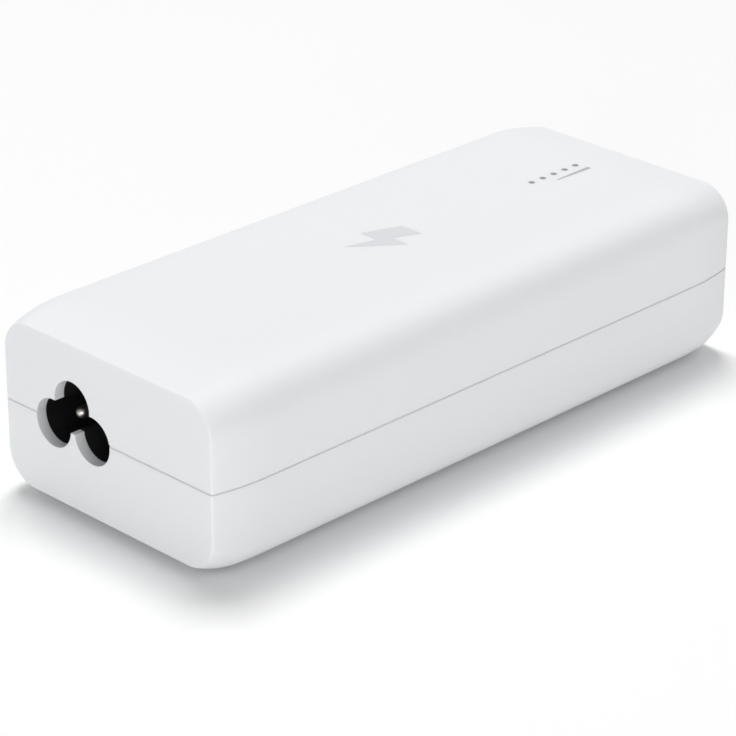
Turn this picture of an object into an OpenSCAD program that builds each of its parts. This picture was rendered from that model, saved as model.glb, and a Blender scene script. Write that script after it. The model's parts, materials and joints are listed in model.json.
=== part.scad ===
// Power-over-Ethernet injector: a two-part moulded case round a small mains supply.
// The mains inlet is at the -X end and the two network jacks are at the +X end.
// Origin: on the surface that the feet stand on, under the middle of the case. +Z is up.

/* [Case] */
// Length of the case, end face to end face
body_l = 140; // [138:0.5:144]
// Width of the case at mid-length
body_w = 58; // [57:0.5:60]
// Height of the case without its feet
body_h = 36; // [36:0.5:38]
// Height of the joint between the covers, above the underside of the case
split_h = 17.5; // [17.5:0.1:18]
// Thickness of the case wall
wall = 2.2; // [2:0.1:2.4]
// How far the feet stand out below the case
foot_out = 0.6; // [0.4:0.1:0.8]
// Width and height of the shadow gap along the joint
seam_gap = 0.3; // [0.2:0.05:0.5]

/* [Case rounding] */
// Length over which the sides curve in towards each end
side_run = 12; // [10:0.5:14]
// Radius of that side curve
side_r = 46; // [40:1:60]
// Length over which the top curves down towards each end
top_run = 14; // [12:0.5:16]
// Radius of that top curve
top_r = 54; // [46:1:60]
// Length over which the underside curves up towards each end
low_run = 7; // [6:0.5:8]
// Radius of that underside curve
low_r = 17.5; // [16:0.5:24]
// Size of the soft top corner at mid-length
corner_top = 12; // [10:0.5:12.5]
// Size of the soft bottom corner at mid-length
corner_low = 9; // [8:0.5:10]
// Size of the corners at the flat end faces
corner_end = 6.6; // [6:0.1:7.5]
// How square the top corner is: 2 is a circle
square_top = 3.5; // [2:0.1:4]
// How square the bottom corner is: 2 is a circle
square_low = 3; // [2:0.1:4]

/* [Mains inlet] */
// Distance of the inlet from the centre line, towards +Y
inlet_y = 9.05; // [8.6:0.05:9.6]
// Height of the line and neutral pins above the underside of the case
inlet_h = 17; // [16.9:0.1:17.1]
// Radius of each lobe of the opening
lobe_r = 4.7; // [4.6:0.05:4.8]
// Half the distance between the two lower lobes
lobe_half = 5.25; // [5.2:0.05:5.3]
// Height of the upper lobe above the lower ones
lobe_rise = 5.2; // [5.1:0.05:5.3]
// Radius of the contact pins
pin_r = 1.2; // [1.1:0.05:1.3]
// Half the distance between the line and neutral pins
pin_half = 5; // [5:0.1:5.1]
// Distance of the pin tips behind the end face
pin_recess = 5.4; // [5:0.1:6.5]
// Depth of the inlet opening behind the end face
inlet_depth = 14; // [13.5:0.5:15]

/* [Network jacks] */
// Distance of each jack from the centre line
port_y = 10; // [9.9:0.1:10.4]
// Width of a jack with its shield
jack_w = 16.1; // [15.9:0.1:16.2]
// Height of a jack with its shield
jack_h = 13.4; // [13.2:0.1:13.6]
// Length of a jack with its shield
jack_l = 20.4; // [19:0.1:21]
// Distance of the jack fronts behind the end face
jack_recess = 0.4; // [0.3:0.1:1]
// Width of the plug opening
plug_w = 11.9; // [11.8:0.1:12]
// Height of the plug opening
plug_h = 6.9; // [6.8:0.1:7]
// Spacing of the contact wires
wire_pitch = 1.016; // [1:0.004:1.02]
// Rise of the contact wires, from the front root to the back
wire_rise = 16; // [14:1:18]

/* [Status lights] */
// Number of light windows
light_count = 5; // [3:1:5]
// Place of the first window along the case
light_x = 41.7; // [41:0.1:42.5]
// Spacing of the windows
light_pitch = 3.25; // [3:0.05:3.3]
// Radius of a window
light_r = 0.65; // [0.5:0.05:0.7]

/* [Main board] */
// Height of the top of the board
board_top = 8; // [7.8:0.1:8.2]
// Thickness of the board
board_t = 1.6; // [1.2:0.2:1.6]
// Length of the board
board_l = 133; // [132:0.5:133]
// Width of the board
board_w = 48; // [47:0.5:49]

/* [Fastenings] */
// Distance of the case screws and feet from the middle, along the case
screw_x = 43; // [42:0.5:43]
// Distance of the case screws and feet from the centre line
screw_y = 19.5; // [19:0.5:20]
// Radius of the screw posts in the covers
post_r = 3; // [2.9:0.1:3.1]
// Radius of a rubber foot
foot_r = 4.5; // [4:0.1:4.6]

/* [Hidden] */
$fn = 40;

// Colours
case_white = "#eef0f2";
black = "#1a1b1d";
metal = "#c9ccd0";
gold = "#d9b45a";
copper = "#b5713c";
board_green = "#1f5a3c";
grey_rubber = "#8d9094";

// Main levels and places
end_x = body_l / 2;
under_z = foot_out;
roof_z = foot_out + body_h;
split_z = foot_out + split_h;
floor_z = under_z + wall;
inner_end = end_x - wall;
inlet_z = foot_out + inlet_h;
seam_depth = 0.6;
corner_run = 18;
corner_steps = 11;
end_steps = 9;
end_zone = max(side_run, top_run, corner_run);
eps = 0.01;

// Screw levels
foot_recess = 0.8;
head_top = under_z + 3.8;
post_top = 16;
screw_tip = 25;

// Level of the heat spreader's underside
spreader_z = board_top + 21.2;

// Jack levels
jack_front = end_x - jack_recess;
jack_back = jack_front - jack_l;
jack_low = board_top + 0.05;
skin = 0.25;
jack_mid_z = jack_low + jack_h / 2;
plug_low = jack_low + 2.6;
plug_back = jack_front - 14;
wire_root = [jack_front - 2.6, jack_low + 1.95];
wire_len = 10.2;
wire_t = 0.3;
root_r = 0.3;

// ---- Outer form -------------------------------------------------------------------------

// Drop of a shallow end curve at distance s from the end face
function drop(s, run, r) = s >= run ? 0 : r - sqrt(r * r - pow(run - s, 2));
function ease(t) = let (u = min(max(t, 0), 1)) u * u * (3 - 2 * u);
function mix(a, b, t) = a + (b - a) * t;
function from_end(x) = end_x - abs(x);
function half_w(x) = body_w / 2 - drop(from_end(x), side_run, side_r);
function top_z(x) = roof_z - drop(from_end(x), top_run, top_r);
function low_z(x) = under_z + drop(from_end(x), low_run, low_r);

// Stations along the case: close together in the end zones, one straight stretch between
stations = concat(
    [for (i = [0:end_steps]) -end_x + end_zone * pow(i / end_steps, 1.4)],
    [for (i = [end_steps:-1:0]) end_x - end_zone * pow(i / end_steps, 1.4)]
);

// Outline of one cover at station x, inset by d and placed at x_at: from the +Y edge at the
// joint, round both soft corners, to the -Y edge. up is 1 for the top cover and -1 for the base
function outline(x, x_at, d, up) =
    let (
        t = ease(from_end(x) / corner_run),
        a = mix(corner_end, up > 0 ? corner_top : corner_low, t) - 0.6 * d,
        n = mix(2, up > 0 ? square_top : square_low, t),
        w = half_w(x) - d,
        z = up > 0 ? top_z(x) - d : low_z(x) + d,
        bend = [for (i = [0:corner_steps]) let (v = 90 * i / corner_steps)
            [w - a + a * pow(cos(v), 2 / n), z - up * a * (1 - pow(sin(v), 2 / n))]]
    )
    concat(
        [[x_at, w, split_z]],
        [for (p = bend) [x_at, p[0], p[1]]],
        [for (i = [corner_steps:-1:0]) [x_at, -bend[i][0], bend[i][1]]],
        [[x_at, -w, split_z]]
    );

function flip_if(flip, f) = flip ? [for (i = [len(f) - 1:-1:0]) f[i]] : f;

// One hollow half of the case, open at the joint
module half_shell(up) {
    n = len(stations);
    outer = [for (x = stations) outline(x, x, 0, up)];
    inner = [for (x = stations) outline(x, x * inner_end / end_x, wall, up)];
    m = len(outer[0]);
    points = concat([for (r = outer) each r], [for (r = inner) each r]);
    k = n * m;
    skins = [for (i = [0:n - 2], j = [0:m - 2]) let (a = i * m + j, b = a + m)
        each [
            [a, b, b + 1], [a, b + 1, a + 1],
            [k + a, k + b + 1, k + b], [k + a, k + a + 1, k + b + 1]
        ]];
    rims = [for (i = [0:n - 2]) let (a = i * m, b = a + m, c = a + m - 1, d = c + m)
        each [[a, k + a, k + b, b], [c, d, k + d, k + c]]];
    last = k - m;
    ends = [
        [for (j = [0:m - 1]) j],
        [for (j = [m - 1:-1:0]) last + j],
        [for (j = [m - 1:-1:0]) k + j],
        [for (j = [0:m - 1]) k + last + j],
        [0, m - 1, k + m - 1, k],
        [k + last, k + k - 1, k - 1, last]
    ];
    polyhedron(points, [for (f = concat(skins, rims, ends)) flip_if(up < 0, f)], convexity = 8);
}

// Plan outline of the case at the joint, inset by d. Its points fall between the stations, and it is
// a hair shorter than the shell's own inset, so that no corner of it lies on an edge of the shell
module plan(d) {
    reach = end_x - d - 0.07;
    half = [for (i = [0:2 * end_steps]) end_x - end_zone * pow(i / (2 * end_steps), 1.7)];
    xs = concat([for (x = half) -x], [for (i = [2 * end_steps:-1:0]) half[i]]);
    side = [for (x = xs) [x * reach / end_x, half_w(x) - d]];
    polygon(concat(side, [for (i = [len(side) - 1:-1:0]) [side[i][0], -side[i][1]]]));
}

// A band that follows the case outline between two insets, from z0 up to z1
module band(z0, z1, d_out, d_in)
    translate([0, 0, z0]) linear_extrude(z1 - z0) difference() {
        plan(d_out);
        plan(d_in);
    }

// ---- Shared shapes ----------------------------------------------------------------------

module at_screws()
    for (x = [-screw_x, screw_x], y = [-screw_y, screw_y]) translate([x, y, 0]) children();

// Upright cylinder from z0 to z1
module rod(r, z0, z1) translate([0, 0, z0]) cylinder(r = r, h = z1 - z0);

// Cylinder along X from x0 to x1
module rod_x(r, x0, x1, y, z) translate([x0, y, z]) rotate([0, 90, 0]) cylinder(r = r, h = x1 - x0);

// Box between two corners
module box(a, b) translate(a) cube(b - a);

// Rectangle with round corners, centred
module round_rect(x, y, r) {
    square([x - 2 * r, y], center = true);
    square([x, y - 2 * r], center = true);
    for (i = [-1, 1], j = [-1, 1]) translate([i * (x / 2 - r), j * (y / 2 - r)]) circle(r);
}

// Upright block with round corners, centred in plan
module pad(x, y, r, z0, z1) translate([0, 0, z0]) linear_extrude(z1 - z0) round_rect(x, y, r);

// Two or more round legs under a component, down to the board
module legs(places, z1, r = 0.35) for (p = places) translate([p[0], p[1], 0]) rod(r, board_top, z1);

// Self-tapping screw: pan head, cross recess and threaded shank, pointing up from z0
module screw(head_r, head_h, shank_r, length) {
    pitch = 0.8;
    core = shank_r * 0.8;
    turns = floor(length * 0.6 / pitch);
    z_thread = length - turns * pitch;
    difference() {
        rotate_extrude() polygon(concat(
            [[0, -head_h], [head_r * 0.8, -head_h], [head_r, -head_h * 0.6]],
            [[head_r, 0], [core, 0], [core, z_thread]],
            [for (i = [0:turns - 1]) let (z = z_thread + i * pitch)
                each [[shank_r, z + pitch / 2], [core, z + pitch]]],
            [[0, length + core]]
        ));
        for (a = [0, 90]) rotate(a)
            translate([-head_r / 2, -head_r / 9, -head_h - eps]) cube([head_r, head_r * 2 / 9, head_h * 0.6]);
    }
}

// ---- Openings in the end walls ----------------------------------------------------------

// The three-lobed mains opening, from x0 to x1. Its middle reaches a little below the lower pins
module lobes(r, x0, x1) {
    middle = 0.8;
    low = inlet_z - 0.4 + lobe_r - r;
    for (p = [[-lobe_half, 0], [lobe_half, 0], [0, lobe_rise]])
        rod_x(r, x0, x1, inlet_y + p[0], inlet_z + p[1]);
    box([x0, inlet_y - middle, low], [x1, inlet_y + middle, inlet_z + 2]);
}

// The two rectangular windows for the jacks
module port_windows() for (s = [-1, 1])
    translate([inner_end - 1, s * port_y - jack_w / 2 - 0.2, jack_low - 0.15])
        cube([wall + 2, jack_w + 0.4, jack_h + 0.35]);

module at_stakes() for (x = [-16, 22.4], y = [-16, 16]) translate([x, y, 0]) children();

module light_row() for (i = [0:light_count - 1]) translate([light_x + i * light_pitch, 0, 0]) children();

// ---- Case -------------------------------------------------------------------------------

module top_cover() color(case_white) difference() {
    union() {
        half_shell(1);
        at_screws() rod(post_r, post_top, roof_z - 1.2);
        // Rim that holds the light guide's plate
        translate([light_x + 2 * light_pitch, 0, 0]) pad(19, 9, 1, roof_z - wall - 3.4, roof_z - 1.2);
        // Plastic stakes that hold the heat spreader
        at_stakes() {
            rod(2.6, spreader_z + 1.25, roof_z - 1.2);
            rod(1.5, spreader_z - 0.5, roof_z - 1.2);
            rod(2.4, spreader_z - 0.8, spreader_z - 0.05);
        }
        // Cross ribs under the roof
        for (x = [-34, -1, 32]) box([x - 0.6, -24, roof_z - wall - 1.5], [x + 0.6, 24, roof_z - 1.2]);
    }
    translate([light_x + 2 * light_pitch, 0, 0]) pad(17.2, 7.2, 0.6, roof_z - wall - 4, roof_z - wall - 1.2);
    band(split_z - eps, split_z + seam_gap, -1, seam_depth);
    band(split_z - eps, split_z + 1.5, 1.2, 2.4);
    lobes(lobe_r, -end_x - 1, -inner_end + 1);
    port_windows();
    light_row() rod(light_r, roof_z - wall - 2, roof_z + 1);
    at_screws() rod(1.35, post_top - 1, screw_tip + 3);
}

module base_cover() color(case_white) difference() {
    union() {
        half_shell(-1);
        band(split_z - 2, split_z + 1.3, 1.3, 2.1);
        at_screws() rod(post_r, under_z + 1, post_top);
        board_places() rod(2.6, under_z + 1, board_top - board_t);
    }
    lobes(lobe_r, -end_x - 1, -inner_end + 1);
    port_windows();
    at_screws() {
        rod(foot_r + 0.1, under_z - 1, under_z + foot_recess);
        rod(2.6, under_z, head_top);
        rod(1.5, head_top - 1, post_top + 1);
    }
    board_places() rod(0.95, floor_z, board_top);
}

module rubber_feet() color(grey_rubber) {
    top = under_z + foot_recess;
    at_screws() rotate_extrude()
        polygon([[0, 0], [foot_r - 0.4, 0], [foot_r - 0.1, 0.15], [foot_r, 0.4], [foot_r, top], [0, top]]);
}

module case_screws() color(metal)
    at_screws() translate([0, 0, head_top]) screw(2.4, 1.9, 1.3, screw_tip - head_top);

module insulation_sheet() color("#e9e4cf") difference() {
    box([-60, -20.5, floor_z + 0.05], [47, 20.5, floor_z + 0.45]);
    at_screws() rod(post_r + 0.6, 0, 9);
    board_places() rod(3.2, 0, 9);
}

// ---- Main board -------------------------------------------------------------------------

module board_places()
    for (p = [[-61, -20.5], [-31, 21], [61, 21.5], [61, -21.5]]) translate([p[0], p[1], 0]) children();

// Through holes of one jack's leads
module at_lead_holes(y) for (i = [0:7])
    translate([jack_back + 2.5 + 2.54 * (i % 2), y + (i - 3.5) * wire_pitch, 0]) children();

module main_board() color(board_green) difference() {
    pad(board_l, board_w, 1.5, board_top - board_t, board_top);
    at_screws() rod(post_r + 0.4, 0, 9);
    board_places() rod(1.25, 0, 9);
    for (s = [-1, 1]) at_lead_holes(s * port_y) rod(0.4, 0, 9);
    // Isolation slots between the mains side and the low-voltage side
    for (y = [-13, 16]) translate([23, y, 0]) pad(1.2, 9, 0.55, 0, 9);
}

module board_screws() color(metal)
    board_places() translate([0, 0, board_top]) mirror([0, 0, 1]) screw(2, 1.4, 0.85, 3.8);

// ---- Mains inlet ------------------------------------------------------------------------

pin_root = -end_x + inlet_depth;
housing_back = pin_root + 7;
// Moulded block with sloped shoulders, a three-lobed socket in front and three bores for the pins
module inlet_housing() color(black) difference() {
    reach = lobe_half + lobe_r + 1.5;
    crown = lobe_rise + lobe_r + 1.5;
    translate([-inner_end, inlet_y, inlet_z]) rotate([90, 0, 90])
        linear_extrude(housing_back + inner_end) polygon([
            [-reach, board_top - inlet_z], [reach, board_top - inlet_z], [reach, 2.5],
            [lobe_r + 0.6, crown], [-lobe_r - 0.6, crown], [-reach, 2.5]
        ]);
    lobes(lobe_r - 0.05, -end_x, pin_root);
    for (p = [[-pin_half, 0], [pin_half, 0], [0, pin_half]])
        rod_x(1.62, pin_root - 1, housing_back + 1, inlet_y + p[0], inlet_z + p[1]);
}

// Round contact pin with a domed tip, a thicker root and a flat solder tail down to the board
module contact_pin(y, z, tail) color(metal) {
    tip = -end_x + pin_recess;
    translate([tip + pin_r, y, z]) sphere(r = pin_r);
    rod_x(pin_r, tip + pin_r, pin_root, y, z);
    rod_x(1.6, pin_root, housing_back + tail, y, z);
    box([housing_back + tail - 1, y - 0.9, board_top], [housing_back + tail - 0.2, y + 0.9, z]);
}

module line_pin() contact_pin(inlet_y - pin_half, inlet_z, 1.4);
module neutral_pin() contact_pin(inlet_y + pin_half, inlet_z, 1.4);
module earth_pin() contact_pin(inlet_y, inlet_z + pin_half, 3);

// ---- Mains side parts -------------------------------------------------------------------

module fuse() {
    at = [-55, -20, board_top + 4];
    color("#d8dadb") translate(at) rotate([-90, 0, 0]) difference() {
        rod(2.5, 3, 12.2);
        rod(2, 2, 13);
    }
    color(metal) translate(at) rotate([-90, 0, 0]) {
        rod(2.6, 0, 3);
        rod(2.6, 12.2, 15.2);
        rod(0.15, 2.5, 12.7);
    }
    color(metal) for (y = [at[1] + 0.5, at[1] + 12.7])
        box([at[0] - 1.5, y, board_top], [at[0] + 1.5, y + 2, at[2] - 1.8]);
}

module varistor() color("#2b59a8") {
    translate([-50.5, -14, board_top + 8.2]) rotate([0, 90, 0]) rotate_extrude() polygon([
        [0, -1.9], [4, -1.9], [5, -1.2], [5.2, 0], [5, 1.2], [4, 1.9], [0, 1.9]
    ]);
    legs([[-50.5, -16.5], [-50.5, -11.5]], board_top + 4.6);
}

module x_capacitor() color("#e6c14a") translate([-40.5, 6, 0]) {
    pad(8, 15, 0.6, board_top + 0.4, board_top + 14);
    legs([[0, -5], [0, 5]], board_top + 0.5);
}

choke_at = [-31, -9, board_top + 11.4];
choke_mean = 6.4;
choke_core_r = 2.4;

module choke_core() color("#4a4b4e") translate(choke_at) rotate([0, 90, 0]) {
    rotate_extrude() translate([choke_mean, 0]) circle(choke_core_r);
    // Insulating divider across the middle
    difference() {
        cube([2 * (choke_mean - choke_core_r) + 0.4, 0.9, 5], center = true);
        cylinder(r = 0.5, h = 6, center = true);
    }
}

module choke_windings() color(copper) {
    translate(choke_at) rotate([0, 90, 0]) for (side = [0, 180], i = [-3.5:1:3.5])
        rotate(90 + side + 16 * i) translate([choke_mean, 0, 0]) rotate([90, 0, 0])
            rotate_extrude() translate([choke_core_r + 0.55, 0]) circle(0.4);
    legs([[choke_at[0], choke_at[1] - 4], [choke_at[0], choke_at[1] + 4]], board_top + 3.3, 0.4);
}

module bridge_rectifier() color(black) translate([-24, 9.5, 0]) {
    difference() {
        pad(3.6, 16, 0.4, board_top + 3, board_top + 14);
        rod_x(1.6, -3, 3, 0, board_top + 10.5);
    }
    legs([for (i = [-1.5:1:1.5]) [0, i * 4]], board_top + 3.1, 0.4);
}

// Aluminium-cased capacitor standing along +Z from 0 to h, with its bead and vent lines
module can(r, h) difference() {
    rotate_extrude() polygon([
        [0, 0], [r - 0.4, 0], [r, 0.4], [r, 1.6], [r - 0.5, 2.1], [r, 2.6],
        [r, h - 0.5], [r - 0.5, h], [r - 1, h - 0.4], [0, h - 0.4]
    ]);
    for (a = [0, 90]) rotate(a) translate([-r * 0.6, -0.15, h - 0.7]) cube([r * 1.2, 0.3, 1]);
}

module bulk_capacitor() color("#26303c") {
    translate([-20.5, 12.6, board_top + 9.1]) rotate([0, 90, 0]) can(8.6, 31);
    for (y = [8.8, 16.4]) {
        rod_x(0.4, -21.5, -20.4, y, board_top + 9.1);
        translate([-21.5, y, 0]) rod(0.4, board_top, board_top + 9.1);
    }
}

module primary_heatsink() color("#b9bdc2") {
    box([-24, -23, board_top], [-5, -21, board_top + 20]);
    for (x = [-24:3.4:-7]) box([x, -24.4, board_top + 4], [x + 1.2, -23, board_top + 20]);
}

// Three-legged power package standing against a plate, its back face at y
module power_package(x, y) {
    color(metal) difference() {
        box([x - 5, y, board_top + 4], [x + 5, y + 1.3, board_top + 19]);
        translate([x, y, board_top + 16.4]) rotate([90, 0, 0]) cylinder(r = 1.7, h = 8, center = true);
    }
    color(black) box([x - 5, y + 1.3, board_top + 4], [x + 5, y + 4.4, board_top + 13]);
    color(metal) legs([for (i = [-1:1]) [x + 2.54 * i, y + 2.6]], board_top + 4.1, 0.4);
}

module switch_transistor() power_package(-14.5, -21);

// ---- Transformer ------------------------------------------------------------------------

trafo_at = [8, -9];
trafo_core_l = 26;
trafo_core_w = 9;

module transformer_bobbin() color("#2a2b2e") translate([trafo_at[0], trafo_at[1], board_top]) {
    difference() {
        union() {
            box([-9, -11, 0], [9, 11, 3]);
            translate([0, 0, 3]) cylinder(r = 5.2, h = 12.6);
            translate([0, 0, 3]) cylinder(r = 8.8, h = 0.8);
            translate([0, 0, 14.8]) cylinder(r = 8.8, h = 0.8);
        }
        translate([0, 0, 2]) cylinder(r = 4.4, h = 16);
        box([-14, -trafo_core_w / 2 - 0.1, -1], [14, trafo_core_w / 2 + 0.1, 3]);
    }
}

module transformer_core() color("#3b3c40") translate([trafo_at[0], trafo_at[1], board_top]) {
    difference() {
        box([-trafo_core_l / 2, -trafo_core_w / 2, 0.3], [trafo_core_l / 2, trafo_core_w / 2, 18.7]);
        difference() {
            translate([0, 0, 3]) cylinder(r = 9.4, h = 12.8);
            cylinder(r = 4.3, h = 20);
        }
    }
}

// Layered winding in its tape, with a wavy outside where the turns lie
module transformer_winding() color("#e0b24d") translate([trafo_at[0], trafo_at[1], board_top])
    rotate_extrude() polygon(concat(
        [[5.25, 3.9], [8.4, 3.9]],
        [for (i = [0:10]) each [[8.6, 4.2 + i * 0.95], [8.4, 4.7 + i * 0.95]]],
        [[8.4, 14.7], [5.25, 14.7]]
    ));

module y_capacitor() color("#3f7fc0") {
    translate([23, 3.2, board_top + 6.2]) rotate([90, 0, 0]) rotate_extrude() polygon([
        [0, -1.6], [3, -1.6], [3.9, -0.9], [4.1, 0], [3.9, 0.9], [3, 1.6], [0, 1.6]
    ]);
    legs([[20.5, 2.7], [25.5, 3.7]], board_top + 5);
}

module optocoupler() {
    color("#efeee8") difference() {
        translate([23, 8.6, 0]) pad(6.4, 4.6, 0.3, board_top + 0.5, board_top + 4);
        translate([20.8, 10, 0]) rod(0.4, board_top + 3.8, board_top + 5);
    }
    color(metal) for (s = [-1, 1], y = [7.3, 9.9]) translate([23, y, 0]) {
        box([min(s * 3.2, s * 4), -0.3, board_top + 2], [max(s * 3.2, s * 4), 0.3, board_top + 2.3]);
        box([min(s * 3.8, s * 4.1), -0.3, board_top], [max(s * 3.8, s * 4.1), 0.3, board_top + 2.3]);
    }
}

module control_chip() {
    color(black) difference() {
        translate([-13, -9, 0]) pad(4.9, 3.9, 0.2, board_top + 0.2, board_top + 1.7);
        translate([-14.8, -10.2, 0]) rod(0.35, board_top + 1.5, board_top + 3);
    }
    color(metal) for (s = [0, 180], i = [-1.5:1:1.5]) translate([-13, -9, board_top]) rotate(s)
        box([i * 1.27 - 0.2, 1.95, 0], [i * 1.27 + 0.2, 2.95, 0.35]);
}

// ---- Low-voltage side parts -------------------------------------------------------------

filter_x = 33.2;

module secondary_heatsink() color("#b9bdc2") {
    box([24.5, -23, board_top], [37.5, -21, board_top + 18]);
    for (x = [24.5:3:37]) box([x, -24.2, board_top + 4], [x + 1, -23, board_top + 18]);
}

module output_rectifier() power_package(31, -21);

module output_capacitors() color("#26303c") for (y = [12.5, 1.5]) {
    translate([filter_x, y, board_top + 0.4]) can(5, 19);
    legs([[filter_x - 1.8, y], [filter_x + 1.8, y]], board_top + 0.5, 0.3);
}

module output_choke() color("#55575b") translate([filter_x, -9.7, board_top]) rotate_extrude() polygon([
    [0, 0], [4.8, 0], [4.8, 1.6], [3.9, 2], [3.9, 8], [4.8, 8.4], [4.8, 10], [1.4, 10], [1.2, 9.4], [0, 9.4]
]);

module poe_controller() {
    color(black) difference() {
        translate([15, 17.5, 0]) pad(6, 6, 0.2, board_top + 0.05, board_top + 0.95);
        translate([12.7, 15.2, 0]) rod(0.3, board_top + 0.8, board_top + 2);
    }
    color(metal) for (a = [0:90:270], i = [-3.5:1:3.5]) translate([15, 17.5, board_top]) rotate(a)
        translate([2.6, i * 0.6 - 0.12, 0]) cube([0.5, 0.24, 0.05]);
}

// Network transformer module behind each jack
module magnetics(y) translate([43.8, y, board_top]) {
    color(black) difference() {
        pad(8.6, 12.4, 0.3, 0.3, 6);
        translate([-3, -5, 0]) rod(0.5, 5.7, 7);
    }
    color(metal) for (s = [0, 180], i = [-3.5:1:3.5]) rotate(s)
        box([4.3, i * 1.4 - 0.25, 0], [5.1, i * 1.4 + 0.25, 0.8]);
}

module lan_magnetics() magnetics(-8.6);
module poe_magnetics() magnetics(8.6);

// Aluminium plate over the transformer, staked to the roof of the top cover
module heat_spreader() color("#c4c8cc") difference() {
    box([-20, -19.5, spreader_z], [26, 19.5, spreader_z + 1.2]);
    at_stakes() rod(1.6, spreader_z - 1, spreader_z + 3);
}

module thermal_pad() color("#7fa0b8") translate([trafo_at[0], trafo_at[1], 0])
    box([-11, -8, board_top + 18.8], [11, 8, spreader_z - 0.1]);

// ---- Network jacks ----------------------------------------------------------------------

// Front shape of the plug opening with its stepped latch notch, pushed out by d, in Y and Z
module plug_shape(y, d) translate([y, 0]) {
    translate([-plug_w / 2 - d, plug_low - d]) square([plug_w + 2 * d, plug_h + 2 * d]);
    translate([-3.1 - d, plug_low + plug_h - 1]) square([6.2 + 2 * d, 1 + 1.5 + d]);
    translate([-1.7 - d, plug_low + plug_h]) square([3.4 + 2 * d, 2.5 + d]);
}

// A prism of a Y-Z shape from x0 to x1
module prism_x(x0, x1) translate([x0, 0, 0]) rotate([90, 0, 90]) linear_extrude(x1 - x0) children();

// The jack's outer block, taken in by d on every side
module jack_block(y, d) {
    half = jack_w / 2 - d;
    box([jack_back + d, y - half, jack_low + d], [jack_front - d, y + half, jack_low + jack_h - d]);
}

module wire_row(y) for (i = [-3.5:1:3.5]) translate([0, y + i * wire_pitch, 0]) children();

module jack_housing(y) color("#26282b") difference() {
    jack_block(y, skin);
    prism_x(plug_back, jack_front + 1) plug_shape(y, 0);
    // Slots where the contact wires dip below the floor
    wire_row(y)
        box([wire_root[0] - 7.4, -0.36, wire_root[1] - 0.75], [wire_root[0] + 0.75, 0.36, plug_low + 1]);
    // Comb at the back, where the wire ends rest
    wire_row(y) box([plug_back - 1.2, -0.36, plug_low], [plug_back + 1, 0.36, plug_low + 4.4]);
    // Channels under the floor for the fixed leads
    wire_row(y) {
        box([jack_back + 1.9, -0.3, jack_low], [jack_back + 5.6, 0.3, wire_root[1] - 0.5]);
        box([jack_back + 1.9, -0.3, wire_root[1] - 0.75], [wire_root[0] + 0.7, 0.3, wire_root[1] - 0.3]);
    }
    // Recesses for the side spring tabs
    for (s = [-1, 1]) translate([jack_front - 8, y + s * (plug_w / 2 + 0.3) - 0.4, plug_low + 1.6])
        cube([9, 0.8, 3.4]);
}

module jack_shield(y) color(metal) {
    difference() {
        jack_block(y, 0);
        jack_block(y, skin);
        prism_x(jack_front - 1, jack_front + 1) plug_shape(y, 0.25);
        box([jack_back + 1.2, y - 5.5, jack_low - 1], [jack_back + 6.4, y + 5.5, jack_low + 1]);
    }
    // Side spring tabs that touch a shielded plug
    for (s = [-1, 1]) translate([jack_front - 7.6, y + s * (plug_w / 2 + 0.42) - 0.1, plug_low + 1.9])
        cube([7.6 - skin + 0.05, 0.2, 2.8]);
}

// Fixed part of the contact wires: along the floor, and down through the board
module jack_leads(y) color(gold) for (i = [0:7]) translate([0, y + (i - 3.5) * wire_pitch, 0]) {
    x_down = jack_back + 2.5 + 2.54 * (i % 2);
    z_run = wire_root[1] - 0.36;
    box([x_down - 0.15, -0.18, board_top - board_t - 0.6], [x_down + 0.15, 0.18, z_run]);
    box([x_down - 0.15, -0.18, z_run - 0.3], [wire_root[0] + 0.2, 0.18, z_run]);
}

// Moving part of the contact wires: a round root at the front, a straight rise, and a rounded tip
module contact_springs(y) color(gold) wire_row(y) translate([wire_root[0], 0, wire_root[1]]) {
    rotate([90, 0, 0]) cylinder(r = root_r, h = 0.4, center = true);
    rotate([0, wire_rise, 0]) {
        translate([-wire_len, -0.2, 0]) cube([wire_len, 0.4, wire_t]);
        translate([-wire_len, 0, wire_t / 2]) rotate([90, 0, 0])
            cylinder(r = wire_t / 2, h = 0.4, center = true);
    }
}

module lan_jack_housing() jack_housing(-port_y);
module lan_jack_shield() jack_shield(-port_y);
module lan_jack_leads() jack_leads(-port_y);
module lan_contact_springs() contact_springs(-port_y);
module poe_jack_housing() jack_housing(port_y);
module poe_jack_shield() jack_shield(port_y);
module poe_jack_leads() jack_leads(port_y);
module poe_contact_springs() contact_springs(port_y);

// ---- Status lights ----------------------------------------------------------------------

module status_leds() color("#f4f4ea") light_row() {
    pad(1.6, 0.9, 0.1, board_top, board_top + 0.5);
    rod(0.4, board_top + 0.5, board_top + 0.8);
}

module light_guide() color("#9fb2c4") {
    plate_top = roof_z - wall - 1.25;
    light_row() {
        rod(light_r - 0.03, plate_top - 0.5, roof_z);
        rod(light_r + 0.15, board_top + 1.2, plate_top - 0.5);
    }
    translate([light_x + 2 * light_pitch, 0, 0]) pad(17, 7, 0.6, plate_top - 1.3, plate_top);
}

top_cover();
base_cover();
rubber_feet();
case_screws();
insulation_sheet();
main_board();
board_screws();
inlet_housing();
line_pin();
neutral_pin();
earth_pin();
fuse();
varistor();
x_capacitor();
choke_core();
choke_windings();
bridge_rectifier();
bulk_capacitor();
primary_heatsink();
switch_transistor();
transformer_bobbin();
transformer_core();
transformer_winding();
y_capacitor();
optocoupler();
control_chip();
secondary_heatsink();
output_rectifier();
output_capacitors();
output_choke();
poe_controller();
lan_magnetics();
poe_magnetics();
heat_spreader();
thermal_pad();
lan_jack_housing();
lan_jack_shield();
lan_jack_leads();
lan_contact_springs();
poe_jack_housing();
poe_jack_shield();
poe_jack_leads();
poe_contact_springs();
status_leds();
light_guide();
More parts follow.
